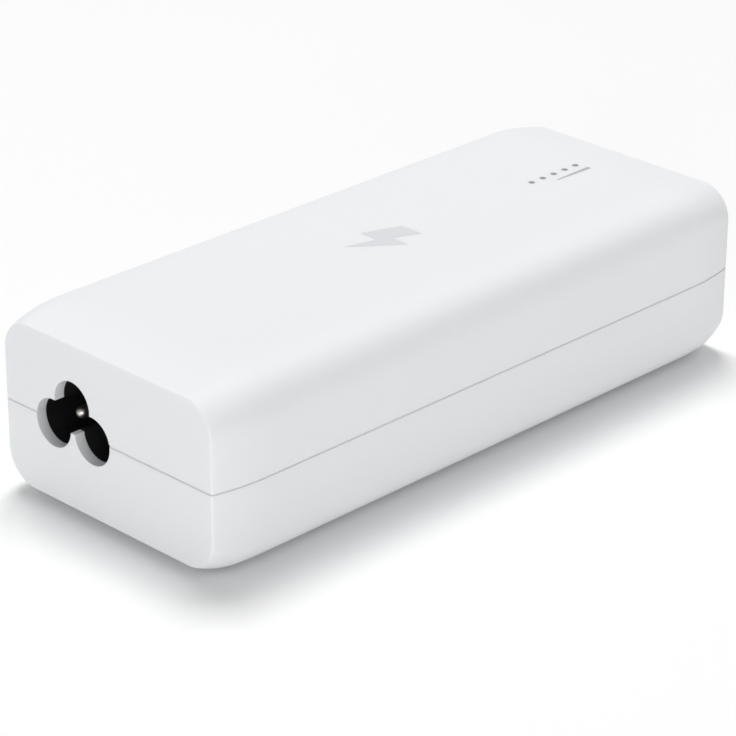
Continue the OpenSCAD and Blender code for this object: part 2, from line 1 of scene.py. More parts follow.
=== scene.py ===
"""Looks of a Power-over-Ethernet injector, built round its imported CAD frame.

Every piece is placed in metres, in the frame's own axes: +X runs towards the network
jacks, the mains inlet is at -X, and +Z is up. Sizes in the classes are in millimetres.
"""
from __future__ import annotations

import json
import logging
import math
from collections.abc import Callable, Sequence
from dataclasses import dataclass, field
from enum import Enum

import bmesh
import bpy
from mathutils import Matrix, Vector

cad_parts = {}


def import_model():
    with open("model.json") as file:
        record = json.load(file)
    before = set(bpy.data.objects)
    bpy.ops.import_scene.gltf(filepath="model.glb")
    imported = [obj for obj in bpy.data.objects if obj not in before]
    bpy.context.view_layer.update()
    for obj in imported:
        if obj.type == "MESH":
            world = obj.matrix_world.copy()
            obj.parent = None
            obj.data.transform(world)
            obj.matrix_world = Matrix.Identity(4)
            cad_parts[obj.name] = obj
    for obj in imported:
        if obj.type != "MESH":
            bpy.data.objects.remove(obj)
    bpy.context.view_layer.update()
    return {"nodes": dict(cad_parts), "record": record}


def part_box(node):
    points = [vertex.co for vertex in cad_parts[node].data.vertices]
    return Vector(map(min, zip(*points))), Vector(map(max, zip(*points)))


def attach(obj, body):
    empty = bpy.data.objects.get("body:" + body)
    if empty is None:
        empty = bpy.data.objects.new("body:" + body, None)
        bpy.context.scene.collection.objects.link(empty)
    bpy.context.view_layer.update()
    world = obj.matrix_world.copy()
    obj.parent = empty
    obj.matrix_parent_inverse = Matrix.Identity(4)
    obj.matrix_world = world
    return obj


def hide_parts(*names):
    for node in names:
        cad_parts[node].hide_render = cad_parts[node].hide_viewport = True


log = logging.getLogger("injector")

MM = 0.001
# Distances in millimetres that are too small to matter, on a new piece and on a CAD node's mesh
HAIR = 0.0002
CAD_HAIR = 0.001
# How far light travels inside a soft plastic, and how broad a surface's unevenness is, in millimetres
GLOW_DEPTH = 1.5
CLOUD_SIZE = 14

Point = tuple[float, float]
Piece = bpy.types.Object
Tree = bpy.types.NodeTree
Socket = bpy.types.NodeSocket


# ---- Colour and shader nodes


def hex_to_linear(code: str) -> tuple[float, float, float, float]:
    """Turn an sRGB hex colour into Blender's linear colour.

    Args:
        code: The colour as "#rrggbb".

    Returns:
        Linear red, green and blue, and an alpha of 1.
    """
    parts = [int(code[i : i + 2], 16) / 255 for i in (1, 3, 5)]
    linear = [c / 12.92 if c <= 0.04045 else ((c + 0.055) / 1.055) ** 2.4 for c in parts]
    return (linear[0], linear[1], linear[2], 1.0)


def add_node(
    tree: Tree, kind: str, settings: dict | None = None, links: dict | None = None
) -> bpy.types.Node:
    """Add one shader node with its settings and links.

    Args:
        tree: The node tree that gets the node.
        kind: The node's type name, without the ShaderNode prefix.
        settings: Values by attribute name, or else by input name or number.
        links: Output sockets by the input name or number that each one feeds.

    Returns:
        The new node.
    """
    node = tree.nodes.new("ShaderNode" + kind)
    for key, value in (settings or {}).items():
        if isinstance(key, str) and hasattr(node, key):
            setattr(node, key, value)
        else:
            node.inputs[key].default_value = value
    for key, socket in (links or {}).items():
        tree.links.new(socket, node.inputs[key])
    return node


# ---- Finishes


class Pattern(Enum):
    """How a surface was made, which sets the pattern that it shows."""

    SPARKED = "moulded in a spark-eroded tool"
    POLISHED = "moulded in a polished tool"
    BRUSHED = "drawn or brushed along one axis"
    SPANGLED = "plated, with the crystals of the coat showing"
    DIPPED = "dipped or sprayed, and levelled by itself"
    FIBROUS = "pressed from fibres"
    SINTERED = "pressed from powder and fired"
    WOUND = "wound from wire or tape"
    MASKED = "printed board under its solder mask"


@dataclass(frozen=True)
class Finish:
    """One real material and how its surface was made.

    Attributes:
        name: The material's common name.
        pattern: How the surface was made.
        colour: Its colour as sRGB hex.
        second: The colour that the pattern mixes in.
        roughness: Typical roughness of the finished surface.
        spread: How far the roughness varies over the pattern.
        grain: Size of the pattern's grain in millimetres.
        relief: Height of the pattern's relief in millimetres.
        metallic: 1 for a bare metal.
        ior: Index of refraction of a plastic, rubber or glass.
        mixing: Share of the second colour at the pattern's peaks.
        through: Share of light that passes, for clear plastics.
        softness: Subsurface share, for plastics that glow a little inside.
        along: Axis that a brushed or wound pattern follows.
    """

    name: str
    pattern: Pattern
    colour: str
    second: str
    roughness: float
    spread: float = 0.06
    grain: float = 0.3
    relief: float = 0.004
    metallic: float = 0.0
    ior: float = 1.5
    mixing: float = 0.5
    through: float = 0.0
    softness: float = 0.0
    along: int = 0

    def build(self) -> bpy.types.Material:
        """Make the Blender material for this finish.

        Returns:
            The finished material.
        """
        material = bpy.data.materials.new(self.name)
        material.use_nodes = True
        tree = material.node_tree
        tree.nodes.clear()
        place = add_node(tree, "TexCoord").outputs["Object"]
        tint, height = self._pattern(tree, place)
        # Broad, faint unevenness that every real surface has: shrinkage, handling and wear
        clouds = {"Scale": 1 / (CLOUD_SIZE * MM), "Detail": 2.0, "Roughness": 0.5}
        cloud = add_node(tree, "TexNoise", clouds, {"Vector": place}).outputs["Fac"]
        share = add_node(
            tree, "MapRange", {"From Min": 0.3, "From Max": 0.7, "To Min": 0.0, "To Max": self.mixing},
            {"Value": tint},
        ).outputs["Result"]
        colour = add_node(
            tree, "Mix", {"data_type": "RGBA", 6: hex_to_linear(self.colour), 7: hex_to_linear(self.second)},
            {0: share},
        ).outputs[2]
        uneven = add_node(tree, "Math", {"operation": "ADD"}, {0: tint, 1: cloud}).outputs[0]
        rough = add_node(
            tree, "MapRange",
            {
                "From Min": 0.6, "From Max": 1.4,
                "To Min": self.roughness - self.spread, "To Max": self.roughness + self.spread,
            },
            {"Value": uneven},
        ).outputs["Result"]
        bump = add_node(
            tree, "Bump", {"Strength": 1.0, "Distance": self.relief * MM}, {"Height": height}
        ).outputs["Normal"]
        settings = {"Metallic": self.metallic}
        if not self.metallic:
            settings["IOR"] = self.ior
        if self.through:
            settings["Transmission Weight"] = self.through
        if self.softness:
            settings.update({
                "Subsurface Weight": self.softness,
                "Subsurface Radius": (1.0, 1.0, 1.0),
                "Subsurface Scale": GLOW_DEPTH * MM,
            })
        shader = add_node(
            tree, "BsdfPrincipled", settings, {"Base Color": colour, "Roughness": rough, "Normal": bump}
        )
        add_node(tree, "OutputMaterial", links={"Surface": shader.outputs["BSDF"]})
        return material

    def _pattern(self, tree: Tree, place: Socket) -> tuple[Socket, Socket]:
        """Add the nodes of the pattern.

        Args:
            tree: The material's node tree.
            place: The place on the piece, in metres.

        Returns:
            The tint, from 0 to 1, and the height, from 0 to 1.
        """
        fine = 1 / (self.grain * MM)
        longer = {Pattern.BRUSHED: 40, Pattern.FIBROUS: 8}.get(self.pattern)
        if longer:
            stretch = [fine, fine, fine]
            stretch[self.along] = fine / longer
            lines = add_node(tree, "Mapping", {"Scale": stretch}, {"Vector": place}).outputs[0]
            noise = add_node(
                tree, "TexNoise", {"Scale": 1.0, "Detail": 4.0, "Roughness": 0.6}, {"Vector": lines}
            ).outputs["Fac"]
            return noise, noise
        if self.pattern in (Pattern.SPANGLED, Pattern.SINTERED):
            cells = add_node(tree, "TexVoronoi", {"Scale": fine, "Randomness": 1.0}, {"Vector": place})
            grey = add_node(tree, "RGBToBW", links={"Color": cells.outputs["Color"]}).outputs[0]
            return grey, cells.outputs["Distance"]
        if self.pattern is Pattern.WOUND:
            # A wave runs 20 radians in each unit of place, so its ridges are 2 pi grains apart
            axis = "XYZ"[self.along]
            waves = {"bands_direction": axis, "Scale": fine / 20, "Distortion": 0.4, "Detail": 1.0}
            turns = add_node(tree, "TexWave", waves, {"Vector": place}).outputs["Fac"]
            return turns, turns
        if self.pattern is Pattern.MASKED:
            tracks = add_node(
                tree, "TexVoronoi",
                {"distance": "CHEBYCHEV", "feature": "F2", "Scale": fine, "Randomness": 0.7},
                {"Vector": place},
            ).outputs["Distance"]
            edges = add_node(
                tree, "MapRange", {"From Min": 0.55, "From Max": 0.6, "To Min": 0.3, "To Max": 0.7},
                {"Value": tracks},
            ).outputs["Result"]
            return edges, edges
        detail = {Pattern.SPARKED: 6.0, Pattern.POLISHED: 2.0, Pattern.DIPPED: 1.0}[self.pattern]
        noise = add_node(
            tree, "TexNoise", {"Scale": fine, "Detail": detail, "Roughness": 0.55}, {"Vector": place}
        ).outputs["Fac"]
        return noise, noise


# The finish of each material slot, from typical values for the real material
FINISH_OF_SLOT: dict[str, Finish] = {
    # White polycarbonate and ABS from a finely sparked tool: nearly matt, with faint broad highlights
    # and a soft glow. The real grain of about 0.05 mm is drawn at 0.25 mm, so that it shows at all.
    "case_plastic": Finish(
        "moulded_white_polycarbonate_abs", Pattern.SPARKED, "#E8EAEC", "#E2E4E6", 0.66, spread=0.04,
        grain=0.25, relief=0.0035, mixing=0.35, softness=0.42,
    ),
    # Translucent grey-blue polycarbonate: smooth, and clear enough to look a little deep
    "light_guide_plastic": Finish(
        "moulded_translucent_polycarbonate", Pattern.POLISHED, "#AEB8BF", "#9EA9B1", 0.22, spread=0.05,
        grain=0.5, relief=0.001, ior=1.58, through=0.25,
    ),
    # Moulded silicone rubber: dull, with dust-fine speckle
    "foot_rubber": Finish(
        "moulded_grey_silicone_rubber", Pattern.SPARKED, "#8F9295", "#7E8184", 0.78, spread=0.08, grain=0.2,
        relief=0.01, ior=1.41, mixing=0.6,
    ),
    # Zinc plate: bright grey with small crystals
    "zinc_steel": Finish(
        "zinc_plated_steel", Pattern.SPANGLED, "#C9CCD0", "#B4B8BD", 0.32, spread=0.08, grain=0.35,
        relief=0.001, metallic=1.0,
    ),
    # Vulcanised fibre paper: matt, with short fibres lying along the sheet
    "sheet_paper": Finish(
        "vulcanised_fibre_paper", Pattern.FIBROUS, "#E8E3CF", "#D2C9A8", 0.7, grain=0.25, relief=0.01,
        mixing=0.7,
    ),
    # Green solder mask over glass laminate: glossy, with the tracks showing lighter
    "board_laminate": Finish(
        "solder_masked_glass_laminate", Pattern.MASKED, "#164A30", "#2C7A50", 0.3, spread=0.05, grain=2.4,
        relief=0.02, mixing=0.8,
    ),
    # Black glass-filled polyamide: deep, dull black with faint flow marks
    "inlet_plastic": Finish(
        "moulded_black_glass_filled_polyamide", Pattern.SPARKED, "#0D0D0E", "#161617", 0.5, spread=0.08,
        relief=0.006, ior=1.53, mixing=0.6,
    ),
    # Nickel plate on brass pins: bright and faintly warm, with fine turning lines
    "nickel_brass": Finish(
        "nickel_plated_brass", Pattern.BRUSHED, "#D8D6D0", "#C4C2BB", 0.38, spread=0.05, grain=0.12,
        relief=0.0008, metallic=1.0, along=1,
    ),
    # Glazed ceramic fuse tube: smooth, off-white and glassy
    "fuse_glass": Finish(
        "glazed_ceramic_tube", Pattern.DIPPED, "#DEDFDC", "#CFD0CC", 0.18, spread=0.04, grain=1.5,
        relief=0.01,
    ),
    # Epoxy dip: deep blue, glossy and slightly lumpy
    "varistor_coat": Finish(
        "dipped_blue_epoxy", Pattern.DIPPED, "#2553A0", "#1D4384", 0.22, spread=0.05, grain=2.2, relief=0.05,
    ),
    # Flame-retardant box: flat yellow with a soft sheen
    "capacitor_box": Finish(
        "moulded_yellow_flame_retardant_box", Pattern.POLISHED, "#E3BC42", "#D3AB33", 0.35, grain=0.8,
    ),
    # Pressed and fired ferrite: dark grey and stony, with a fine grain
    "ferrite": Finish(
        "sintered_ferrite", Pattern.SINTERED, "#3C3D40", "#2A2B2D", 0.55, spread=0.1, grain=0.2, relief=0.01,
    ),
    # Enamelled copper: warm brown metal, with lines along the wire
    "copper_wire": Finish(
        "enamelled_copper_wire", Pattern.BRUSHED, "#B3672F", "#95521F", 0.25, grain=0.2, relief=0.002,
        metallic=1.0, along=1,
    ),
    # Moulded epoxy of chips and transistors: charcoal and matt
    "package_epoxy": Finish(
        "moulded_black_epoxy", Pattern.SPARKED, "#18181A", "#242426", 0.6, spread=0.08, grain=0.15,
        relief=0.006,
    ),
    # Shrunk sleeve over an aluminium can: smooth dark blue with a long highlight
    "capacitor_sleeve": Finish(
        "printed_sleeve_over_aluminium", Pattern.POLISHED, "#27323F", "#1E2833", 0.28, grain=1.2,
        relief=0.003,
    ),
    # Extruded aluminium: pale grey with die lines along its length
    "heatsink_aluminium": Finish(
        "extruded_aluminium", Pattern.BRUSHED, "#C3C6C9", "#A9ADB1", 0.34, spread=0.08, grain=0.15,
        relief=0.002, metallic=1.0,
    ),
    # Phenolic bobbin: black and evenly smooth
    "bobbin_plastic": Finish(
        "moulded_black_phenolic", Pattern.POLISHED, "#232426", "#2E2F32", 0.4, grain=0.6,
    ),
    # Polyester tape over wire: amber, with the turns showing as ridges
    "winding_tape": Finish(
        "polyester_tape_over_wire", Pattern.WOUND, "#DDB04A", "#C49330", 0.3, grain=0.9, relief=0.05, along=2,
    ),
    # Dip coat on a ceramic disc: blue, smooth and slightly waxy
    "disc_ceramic": Finish(
        "dipped_ceramic_disc", Pattern.DIPPED, "#3B78B5", "#2F659C", 0.3, spread=0.05, grain=1.5, relief=0.03,
    ),
    # White epoxy of the optocoupler: chalky white
    "optocoupler_body": Finish(
        "moulded_white_epoxy", Pattern.SPARKED, "#E9E8E2", "#DAD8D0", 0.5, grain=0.15, relief=0.005,
    ),
    # Silicone gap pad: grey-blue, dull and finely speckled
    "gap_pad": Finish(
        "silicone_gap_filler", Pattern.SINTERED, "#8199AB", "#6E8799", 0.8, grain=0.25, relief=0.02,
    ),
    # Black polyester of the jack bodies: a shade greyer and glossier than the inlet
    "jack_plastic": Finish(
        "moulded_black_polyester", Pattern.POLISHED, "#26272A", "#303134", 0.42, grain=0.5, ior=1.57,
        mixing=0.6,
    ),
    # Tin plate rolled along the jack: satin silver with long faint lines
    "jack_steel": Finish(
        "tin_plated_rolled_steel", Pattern.BRUSHED, "#C4C6C8", "#A8ABAE", 0.3, spread=0.09, grain=0.18,
        relief=0.0015, metallic=1.0, along=1,
    ),
    # Hard gold over phosphor bronze: warm and bright
    "gold_contact": Finish(
        "gold_plated_phosphor_bronze", Pattern.BRUSHED, "#E6C169", "#CFA64D", 0.34, grain=0.1, relief=0.0008,
        metallic=1.0,
    ),
    # Chip lights under a clear cap: cream and smooth
    "led_body": Finish(
        "moulded_chip_light", Pattern.POLISHED, "#F2F1E6", "#E4E1CE", 0.25, grain=0.4, relief=0.002,
    ),
}
# Pad-printed ink, a little duller than the plastic under it, with a faintly mottled film
GREY_INK = Finish(
    "pad_printed_grey_ink", Pattern.DIPPED, "#DADCE0", "#D2D4D9", 0.5, spread=0.05, grain=0.6, relief=0.001,
)
DARK_INK = Finish(
    "pad_printed_dark_grey_ink", Pattern.DIPPED, "#B4B8BD", "#A6ABB0", 0.5, spread=0.05, grain=0.6,
    relief=0.001,
)


# ---- Modelling helpers


def select_only(*pieces: Piece) -> None:
    """Deselect everything, then select these pieces, if any, and make the first one active.

    Args:
        *pieces: The pieces to select.
    """
    if bpy.context.object and bpy.context.object.mode != "OBJECT":
        bpy.ops.object.mode_set(mode="OBJECT")
    bpy.ops.object.select_all(action="DESELECT")
    for piece in pieces:
        piece.select_set(True)
    if pieces:
        bpy.context.view_layer.objects.active = pieces[0]


def primitive(kind: str, name: str, **settings: object) -> Piece:
    """Add a mesh primitive and apply its place to its mesh.

    Args:
        kind: The primitive's operator, such as "cube" or "cylinder".
        name: The new object's name.
        **settings: The operator's own settings.

    Returns:
        The new object, with its origin at the frame's.
    """
    select_only()
    getattr(bpy.ops.mesh, f"primitive_{kind}_add")(**settings)
    piece = bpy.context.object
    piece.name = name
    piece.data.name = name
    bpy.ops.object.transform_apply(location=True, rotation=True, scale=True)
    return piece


def block(name: str, low: Sequence[float], high: Sequence[float]) -> Piece:
    """Add a box between two corners.

    Args:
        name: The new object's name.
        low: Its lowest corner in millimetres.
        high: Its highest corner in millimetres.

    Returns:
        The box.
    """
    middle = [(a + b) / 2 * MM for a, b in zip(low, high)]
    size = [(b - a) * MM for a, b in zip(low, high)]
    return primitive("cube", name, size=1, location=middle, scale=size)


def rod(
    name: str, radius: float, start: Sequence[float], length: float, axis: str = "Z", sides: int = 48
) -> Piece:
    """Add a cylinder along one axis.

    Args:
        name: The new object's name.
        radius: Its radius in millimetres.
        start: The middle of its first end face, in millimetres.
        length: Its length in millimetres.
        axis: "X" or "Z".
        sides: Number of sides.

    Returns:
        The cylinder.
    """
    middle = Vector(start) * MM
    middle["XYZ".index(axis)] += length / 2 * MM
    turn = (0, math.pi / 2, 0) if axis == "X" else (0, 0, 0)
    size = {"radius": radius * MM, "depth": length * MM}
    return primitive("cylinder", name, vertices=sides, **size, location=middle, rotation=turn)


def apply_modifier(piece: Piece, kind: str, **settings: object) -> None:
    """Add a modifier with its settings and apply it at once.

    Args:
        piece: The piece that gets it.
        kind: The modifier's type name.
        **settings: The modifier's own settings.
    """
    modifier = piece.modifiers.new(kind.lower(), kind)
    for key, value in settings.items():
        setattr(modifier, key, value)
    select_only(piece)
    bpy.ops.object.modifier_apply(modifier=modifier.name)


def combine(piece: Piece, tool: Piece, operation: str) -> None:
    """Unite a closed mesh with another, or cut the other out of it, and remove the other.

    Args:
        piece: The mesh that is changed.
        tool: The other mesh.
        operation: "UNION" or "DIFFERENCE".
    """
    apply_modifier(piece, "BOOLEAN", operation=operation, solver="EXACT", object=tool)
    mesh = tool.data
    bpy.data.objects.remove(tool, do_unlink=True)
    bpy.data.meshes.remove(mesh)


def join(pieces: Sequence[Piece], name: str) -> Piece:
    """Join pieces into the first one and name it.

    Args:
        pieces: The pieces.
        name: The joined piece's name.

    Returns:
        The joined piece.
    """
    select_only(*pieces)
    if len(pieces) > 1:
        bpy.ops.object.join()
    pieces[0].name = name
    pieces[0].data.name = name
    return pieces[0]


def pick(piece: Piece, domain: str, wanted: Callable[..., bool]) -> int:
    """Enter edit mode and select the vertices, edges or faces that pass a test.

    Args:
        piece: The mesh object to edit.
        domain: "VERT", "EDGE" or "FACE".
        wanted: The test, which gets a BMesh vertex, edge or face.

    Returns:
        How many were selected.
    """
    select_only(piece)
    bpy.ops.object.mode_set(mode="EDIT")
    bpy.ops.mesh.select_mode(type=domain)
    bpy.ops.mesh.select_all(action="DESELECT")
    mesh = bmesh.from_edit_mesh(piece.data)
    elements = {"VERT": mesh.verts, "EDGE": mesh.edges, "FACE": mesh.faces}[domain]
    found = [element for element in elements if wanted(element)]
    for element in found:
        element.select_set(True)
    mesh.select_flush_mode()
    bmesh.update_edit_mesh(piece.data)
    return len(found)


def leave_edit() -> None:
    """Return to object mode."""
    bpy.ops.object.mode_set(mode="OBJECT")


def step_out(piece: Piece, place: Callable[[Vector], Vector]) -> None:
    """Extrude what is selected in edit mode and put each new vertex where a function says.

    Args:
        piece: The mesh in edit mode.
        place: Gives a vertex's new place from its old one, both in millimetres.
    """
    bpy.ops.mesh.extrude_region()
    mesh = bmesh.from_edit_mesh(piece.data)
    for vertex in (v for v in mesh.verts if v.select):
        vertex.co = place(vertex.co / MM) * MM
    bmesh.update_edit_mesh(piece.data)


def bevel_edges(piece: Piece, wanted: Callable[..., bool], width: float, segments: int = 3) -> None:
    """Round the edges that pass a test, by a width in millimetres.

    Args:
        piece: The piece.
        wanted: The test, which gets a BMesh edge.
        width: Width of the rounding in millimetres.
        segments: Faces across it.
    """
    found = pick(piece, "EDGE", wanted)
    if found:
        bpy.ops.mesh.bevel(offset=width * MM, segments=segments, affect="EDGES", clamp_overlap=True)
    leave_edit()
    log.info("%s: %d edges rounded by %.2f mm", piece.name, found, width)


def weld(piece: Piece, reach: float = HAIR) -> None:
    """Enter edit mode, select all of a piece and merge points closer than a reach in millimetres."""
    pick(piece, "VERT", lambda v: True)
    bpy.ops.mesh.remove_doubles(threshold=reach * MM)


def clean(piece: Piece) -> None:
    """Merge doubled points and turn all faces outwards.

    Args:
        piece: The piece.
    """
    weld(piece)
    bpy.ops.mesh.normals_make_consistent(inside=False)
    leave_edit()


def smooth(piece: Piece, degrees: float = 30.0) -> None:
    """Weld a finished piece, and shade it smooth between edges sharper than an angle.

    Args:
        piece: The piece.
        degrees: The angle.
    """
    weld(piece)
    leave_edit()
    select_only(piece)
    bpy.ops.object.shade_smooth_by_angle(angle=math.radians(degrees))
    apply_modifier(piece, "WEIGHTED_NORMAL", mode="FACE_AREA", weight=80, keep_sharp=True)


def softened_copy(node: str, name: str, radius: float, segments: int = 2) -> Piece:
    """Copy a CAD node, merge its triangles into flat faces, and round its edges.

    Args:
        node: The CAD node to copy.
        name: The new piece's name.
        radius: The rounding's radius in millimetres.
        segments: Segments of the rounding.

    Returns:
        The rounded piece, smooth shaded.
    """
    mesh = bpy.data.objects[node].data.copy()
    mesh.materials.clear()
    piece = bpy.data.objects.new(name, mesh)
    mesh.name = name
    bpy.context.scene.collection.objects.link(piece)
    weld(piece, CAD_HAIR)
    bpy.ops.mesh.customdata_custom_splitnormals_clear()
    bpy.ops.mesh.dissolve_limited(angle_limit=math.radians(1.0))
    leave_edit()
    apply_modifier(
        piece, "BEVEL", width=radius * MM, segments=segments, limit_method="ANGLE",
        angle_limit=math.radians(40), use_clamp_overlap=True,
    )
    smooth(piece)
    return piece


def box_mm(node: str) -> tuple[Vector, Vector]:
    """Lowest and highest corner of a CAD node in millimetres."""
    low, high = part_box(node)
    return low / MM, high / MM


@dataclass
class Workshop:
    """Dresses finished pieces, and builds each finish once.

    Attributes:
        body: The CAD body that still pieces ride on.
        made: The materials built so far, by finish name.
    """

    body: str = "injector"
    made: dict[str, bpy.types.Material] = field(default_factory=dict)

    def material(self, finish: Finish) -> bpy.types.Material:
        """Return a finish's material, built the first time it is asked for.

        Args:
            finish: The finish.

        Returns:
            Its material.
        """
        if finish.name not in self.made:
            self.made[finish.name] = finish.build()
        return self.made[finish.name]

    def dress(self, piece: Piece, slot: str, *nodes: str, finish: Finish | None = None) -> None:
        """Give a piece its slot's finish, or another one, and its body, and hide the nodes that it stands
        for.

        Args:
            piece: The finished piece.
            slot: The record's material slot.
            *nodes: CAD nodes that the piece replaces.
            finish: A finish other than the slot's own.
        """
        piece.data.materials.clear()
        piece.data.materials.append(self.material(finish or FINISH_OF_SLOT[slot]))
        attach(piece, self.body)
        if nodes:
            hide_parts(*nodes)
        log.info("%s: %d faces, for %s", piece.name, len(piece.data.polygons), ", ".join(nodes) or "no node")

    def dress_nodes(self, nodes: dict[str, Piece], record: dict) -> None:
        """Give every CAD node the finish of its material slot.

        Args:
            nodes: The CAD nodes by name.
            record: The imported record, which says each node's slot.
        """
        slot_of = {row["node"]: row["material_slot"] for row in record["subparts"]}
        for name, node in nodes.items():
            node.data.materials.clear()
            node.data.materials.append(self.material(FINISH_OF_SLOT[slot_of[name]]))
        log.info("%d CAD nodes dressed", len(nodes))


# ---- Case


class Half(Enum):
    """The two covers of the case, by the way their backs face."""

    TOP = 1
    BASE = -1


@dataclass
class CaseForm:
    """The outer form of the case, whose sides and roof bend in towards two flat ends.

    Attributes:
        end: Half the case's length.
        half: Half its width.
        under: Height of its underside.
        roof: Height of its roof.
        joint: Height of the joint between the covers.
        wall: Wall thickness.
        side_run: Length of the bend of the sides at each end, and side_r its radius.
        top_run: Length of the bend of the roof, and top_r its radius.
        low_run: Length of the bend of the underside, and low_r its radius.
        corner_top: Size of the long upper corners, and square_top their squareness.
        corner_low: Size of the long lower corners, and square_low their squareness.
        corner_end: Radius of the corners at the end faces.
        corner_run: Distance over which the corners change from end to middle.
        edge_r: Radius of the edge round each end face.
        zone_steps: Sections in each end zone.
        edge_steps: Sections in each end edge.
        corner_steps: Faces across each corner.
    """

    end: float
    half: float
    under: float
    roof: float
    joint: float
    wall: float = 2.2
    side_run: float = 12.0
    side_r: float = 46.0
    top_run: float = 14.0
    top_r: float = 54.0
    low_run: float = 7.0
    low_r: float = 17.5
    corner_top: float = 12.0
    square_top: float = 3.5
    corner_low: float = 9.0
    square_low: float = 3.0
    corner_end: float = 6.6
    corner_run: float = 18.0
    edge_r: float = 0.35
    zone_steps: int = 26
    edge_steps: int = 5
    corner_steps: int = 24

    @staticmethod
    def drop(s: float, run: float, radius: float) -> float:
        """Drop of a shallow end bend at distance s from the end face."""
        return 0.0 if s >= run else radius - math.sqrt(radius**2 - (run - s) ** 2)

    def side_at(self, x: float) -> float:
        """Half width of the case at a place along it."""
        return self.half - self.drop(self.end - abs(x), self.side_run, self.side_r)

    def stations(self) -> list[Point]:
        """List the sections along the case.

        Returns:
            Each section's place along X, and how far the end edge's rounding draws it in.
        """
        turns = [math.pi / 2 * i / self.edge_steps for i in range(self.edge_steps)]
        right = [(self.end - self.edge_r * (1 - math.cos(t)), self.edge_r * (1 - math.sin(t))) for t in turns]
        for i in range(self.zone_steps + 1):
            right.append((self.end - self.edge_r - self.corner_run * (i / self.zone_steps) ** 1.3, 0.0))
        return [(-x, inset) for x, inset in right] + right[::-1]

    def bend(self, x: float, inset: float, half: Half) -> list[Point]:
        """Points of one cover's section from its +Y side over its back to its -Y side.

        Args:
            x: Place along the case.
            inset: How far the section is drawn in from the outside.
            half: Which cover.

        Returns:
            The points as (y, z).
        """
        s = self.end - abs(x)
        t = min(max(s / self.corner_run, 0.0), 1.0)
        t = t * t * (3 - 2 * t)
        if half is Half.TOP:
            corner, square = self.corner_top, self.square_top
            back = self.roof - self.drop(s, self.top_run, self.top_r) - inset
        else:
            corner, square = self.corner_low, self.square_low
            back = self.under + self.drop(s, self.low_run, self.low_r) + inset
        size = self.corner_end + (corner - self.corner_end) * t - 0.6 * inset
        power = 2 / (2 + (square - 2) * t)
        side = self.side_at(x) - inset
        points = []
        for i in range(self.corner_steps + 1):
            v = math.pi / 2 * i / self.corner_steps
            across = max(math.cos(v), 0.0) ** power
            along = math.sin(v) ** power
            points.append((side - size * (1 - across), back - half.value * size * (1 - along)))
        return points + [(-y, z) for y, z in reversed(points)]


